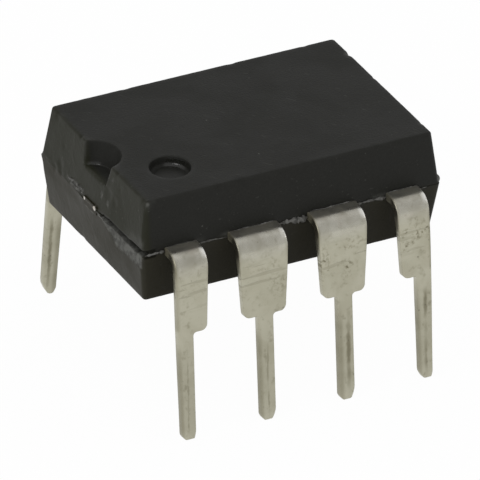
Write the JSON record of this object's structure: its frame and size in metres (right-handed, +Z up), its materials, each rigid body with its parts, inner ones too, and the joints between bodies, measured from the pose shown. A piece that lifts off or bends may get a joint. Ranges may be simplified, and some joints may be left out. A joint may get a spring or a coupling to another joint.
{
  "type": "integrated circuit chip",
  "caption": "Integrated circuit in a moulded epoxy dual in-line package, with a notched end, two rows of formed through-hole leads and its lead frame, die and bond wires inside.",
  "frame": {"origin": "middle of the plane that the tips of the eight leads stand on", "axes": "+X along the body away from the end notch, +Y from the side of leads 1 to 4 to the side of leads 5 to 8, +Z up through the top face"},
  "size_m": [0.0097, 0.009, 0.0072],
  "materials": {
    "epoxy": "matt moulded, fine grain",
    "tinned_lead": "satin tin plating, worn and stained",
    "frame_metal": "rolled, silvered",
    "bonding_layer": "matt",
    "silicon": "polished",
    "gold_wire": "drawn"
  },
  "bodies": {
    "root": {"moulded_body": "epoxy", "lead_1": "tinned_lead", "lead_2": "tinned_lead", "lead_3": "tinned_lead", "lead_4": "tinned_lead", "lead_5": "tinned_lead", "lead_6": "tinned_lead", "lead_7": "tinned_lead", "lead_8": "tinned_lead", "die_paddle": "frame_metal", "die_attach": "bonding_layer", "silicon_die": "silicon", "bond_wire_1": "gold_wire", "bond_wire_2": "gold_wire", "bond_wire_3": "gold_wire", "bond_wire_4": "gold_wire", "bond_wire_5": "gold_wire", "bond_wire_6": "gold_wire", "bond_wire_7": "gold_wire", "bond_wire_8": "gold_wire"}
  },
  "joints": []
}
